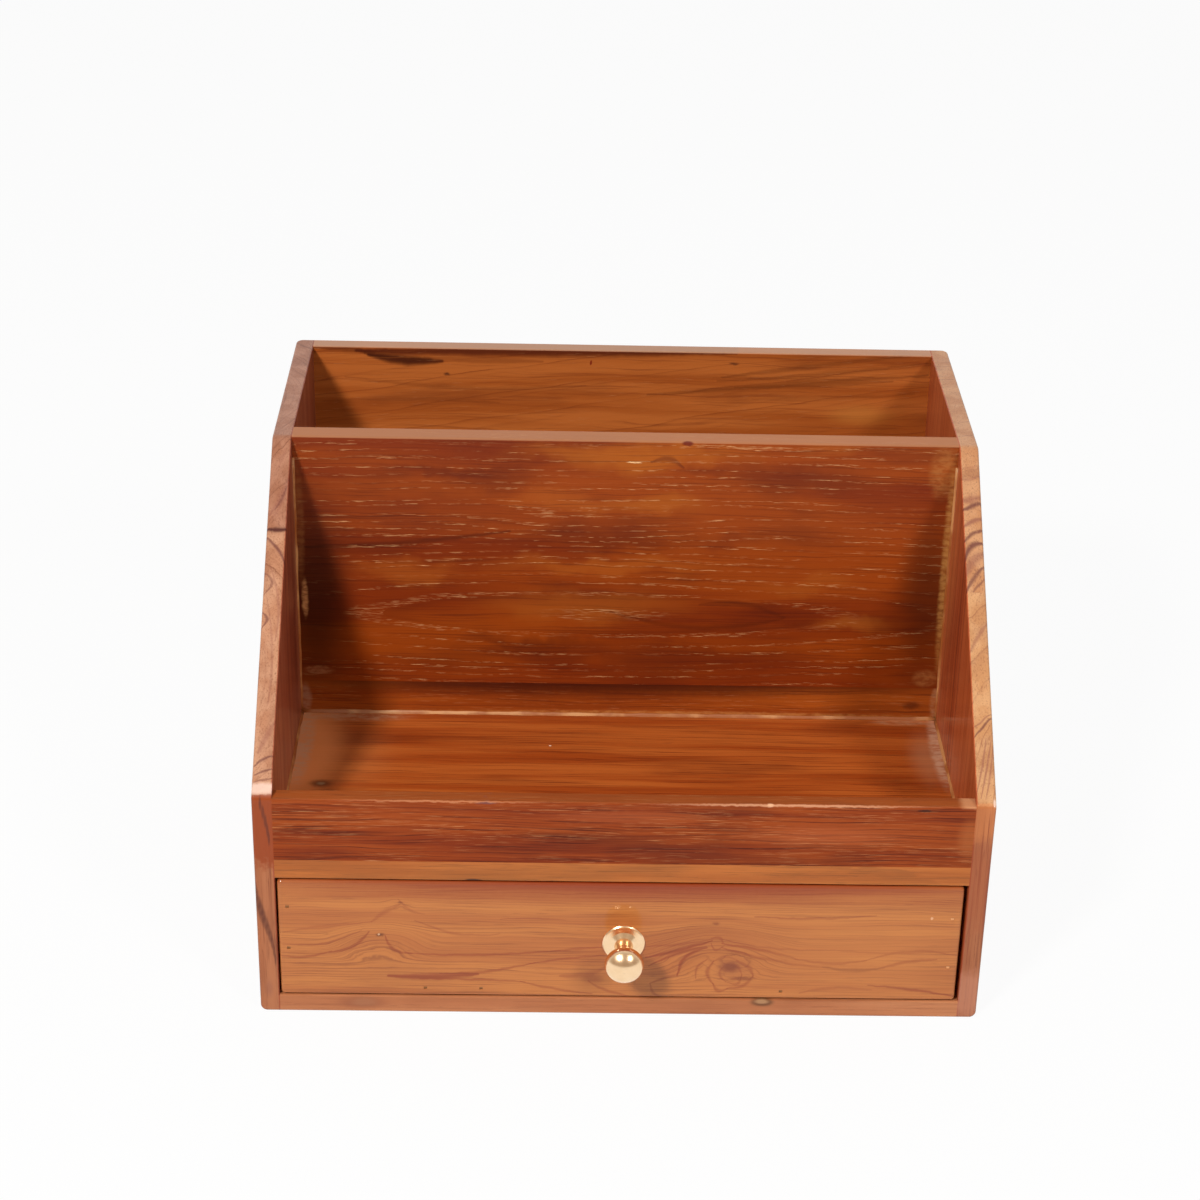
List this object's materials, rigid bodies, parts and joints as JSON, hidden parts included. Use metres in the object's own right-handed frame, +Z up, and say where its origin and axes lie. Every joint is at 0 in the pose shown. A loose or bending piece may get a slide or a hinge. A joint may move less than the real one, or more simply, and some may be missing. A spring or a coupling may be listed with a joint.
{
  "type": "envelope sorter with drawer",
  "caption": "Wooden desk sorter with a tall rear pocket, a shallow front pocket between sloping sides, and a drawer below with a turned brass knob.",
  "frame": {"origin": "centre of the case's footprint on the desk, midway between the outer faces of the sides and midway between the case's front and back", "axes": "+X to the right of someone facing the drawer, -Y out of the drawer's front, +Z up"},
  "size_m": [0.368, 0.3147, 0.255],
  "materials": {
    "case_teak": "varnished teak, semi-gloss, grain along the length",
    "side_teak": "varnished teak, semi-gloss, grain upright",
    "drawer_front_teak": "varnished teak, semi-gloss, pale plain-sawn figure with knots",
    "drawer_box_teak": "plain sanded teak",
    "knob_brass": "polished and lacquered",
    "nail_steel": "darkened flat-wire brads",
    "screw_steel": "zinc-plated"
  },
  "bodies": {
    "case": {"left_side_front_board": "side_teak", "left_side_rear_board": "side_teak", "right_side_front_board": "side_teak", "right_side_rear_board": "side_teak", "back_upper_board": "case_teak", "back_lower_board": "case_teak", "divider_upper_board": "case_teak", "divider_lower_board": "case_teak", "shelf_front_board": "case_teak", "shelf_rear_board": "case_teak", "bottom_front_board": "case_teak", "bottom_rear_board": "case_teak", "front_lip": "case_teak", "left_side_nails": "nail_steel", "right_side_nails": "nail_steel"},
    "drawer": {"drawer_front": "drawer_front_teak", "drawer_left_side": "drawer_box_teak", "drawer_right_side": "drawer_box_teak", "drawer_back": "drawer_box_teak", "drawer_bottom_front_board": "drawer_box_teak", "drawer_bottom_rear_board": "drawer_box_teak", "drawer_front_nails": "nail_steel", "drawer_back_nails": "nail_steel", "drawer_bottom_nails": "nail_steel", "knob": "knob_brass", "knob_screw": "screw_steel"}
  },
  "joints": [
    {"name": "drawer_slide", "type": "slide", "parent": "case", "child": "drawer", "axis": [0, -1, 0], "range_m": [0, 0.25]}
  ]
}
